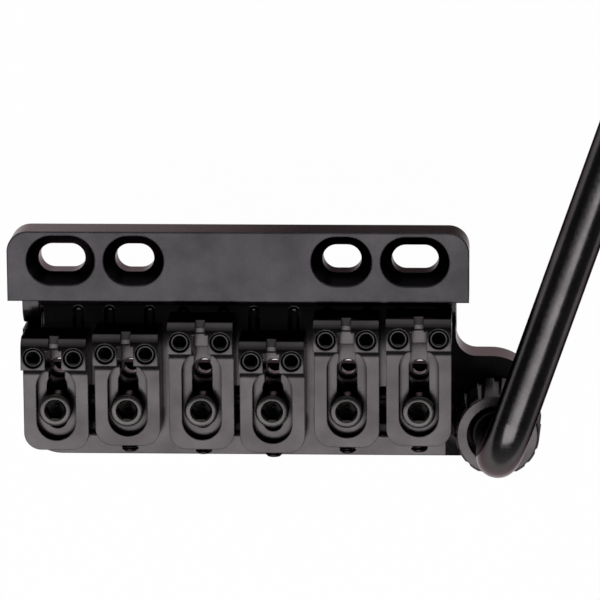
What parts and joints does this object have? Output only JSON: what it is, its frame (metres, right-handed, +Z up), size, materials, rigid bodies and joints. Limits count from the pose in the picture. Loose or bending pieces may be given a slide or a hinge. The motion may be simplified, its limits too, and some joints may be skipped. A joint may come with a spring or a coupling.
{
  "type": "guitar tremolo bridge",
  "caption": "Guitar tremolo bridge: slotted mounting bar, carriage that rocks on a pivot shaft against springs, sliding saddles with grub screws, and a swinging bent arm in a fluted collar.",
  "frame": {"origin": "middle of the line of mounting slots, on the bar's underside, which rests on the guitar's top", "axes": "+X towards the treble side and the arm, +Y towards the neck, +Z up from the guitar's top"},
  "size_m": [0.114, 0.1247, 0.0621],
  "materials": {
    "bar_black": "satin black",
    "frame_black": "satin black",
    "base_black": "satin black",
    "saddle_black": "satin black",
    "collar_black": "satin black",
    "arm_black": "gloss black",
    "screw_black": "black oxide",
    "clamp_black": "worn black",
    "bolt_black": "black oxide",
    "bush_plastic": "matte",
    "bright_steel": "ground",
    "spring_steel": "drawn wire",
    "zinc": "zinc plated",
    "bronze": "sintered bronze"
  },
  "bodies": {
    "mount": {"mounting_bar": "bar_black", "pivot_frame": "frame_black", "frame_screws": "screw_black", "pivot_shaft": "bright_steel"},
    "carriage": {"base_plate": "base_black", "bearing_bushes": "bronze", "clamp_screws": "clamp_black", "tension_bolts": "bolt_black", "spring_cups": "zinc", "spring_nuts": "zinc", "tension_springs": "spring_steel", "arm_socket": "base_black", "socket_nut": "frame_black", "arm_bush": "bush_plastic"},
    "collar": {"arm_collar": "collar_black"},
    "arm": {"tremolo_arm": "arm_black"},
    "saddle_1": {"saddle_1": "saddle_black", "height_screws_1": "screw_black", "intonation_screw_1": "screw_black"},
    "saddle_2": {"saddle_2": "saddle_black", "height_screws_2": "screw_black", "intonation_screw_2": "screw_black"},
    "saddle_3": {"saddle_3": "saddle_black", "height_screws_3": "screw_black", "intonation_screw_3": "screw_black"},
    "saddle_4": {"saddle_4": "saddle_black", "height_screws_4": "screw_black", "intonation_screw_4": "screw_black"},
    "saddle_5": {"saddle_5": "saddle_black", "height_screws_5": "screw_black", "intonation_screw_5": "screw_black"},
    "saddle_6": {"saddle_6": "saddle_black", "height_screws_6": "screw_black", "intonation_screw_6": "screw_black"}
  },
  "joints": [
    {"name": "carriage_pivot", "type": "hinge", "parent": "mount", "child": "carriage", "pos_m": [0, -0.0069, 0.0006], "axis": [-1, 0, 0], "range_deg": [-3.5, 7], "stiffness_Nm_per_rad": 12, "deforming": ["tension_springs"]},
    {"name": "collar_turn", "type": "hinge", "parent": "carriage", "child": "collar", "pos_m": [0.0376, -0.02374, 0.004], "axis": [0, 0, 1], "range_deg": [-180, 180]},
    {"name": "arm_swing", "type": "hinge", "parent": "carriage", "child": "arm", "pos_m": [0.0376, -0.02374, 0.004], "axis": [0, 0, 1], "continuous": true},
    {"name": "saddle_1_slide", "type": "slide", "parent": "carriage", "child": "saddle_1", "axis": [0, 1, 0], "range_m": [-0.002, 0.001]},
    {"name": "saddle_2_slide", "type": "slide", "parent": "carriage", "child": "saddle_2", "axis": [0, 1, 0], "range_m": [-0.002, 0.001]},
    {"name": "saddle_3_slide", "type": "slide", "parent": "carriage", "child": "saddle_3", "axis": [0, 1, 0], "range_m": [-0.002, 0.0008]},
    {"name": "saddle_4_slide", "type": "slide", "parent": "carriage", "child": "saddle_4", "axis": [0, 1, 0], "range_m": [-0.002, 0.001]},
    {"name": "saddle_5_slide", "type": "slide", "parent": "carriage", "child": "saddle_5", "axis": [0, 1, 0], "range_m": [-0.002, 0.0003]},
    {"name": "saddle_6_slide", "type": "slide", "parent": "carriage", "child": "saddle_6", "axis": [0, 1, 0], "range_m": [-0.002, 0.0002]}
  ]
}
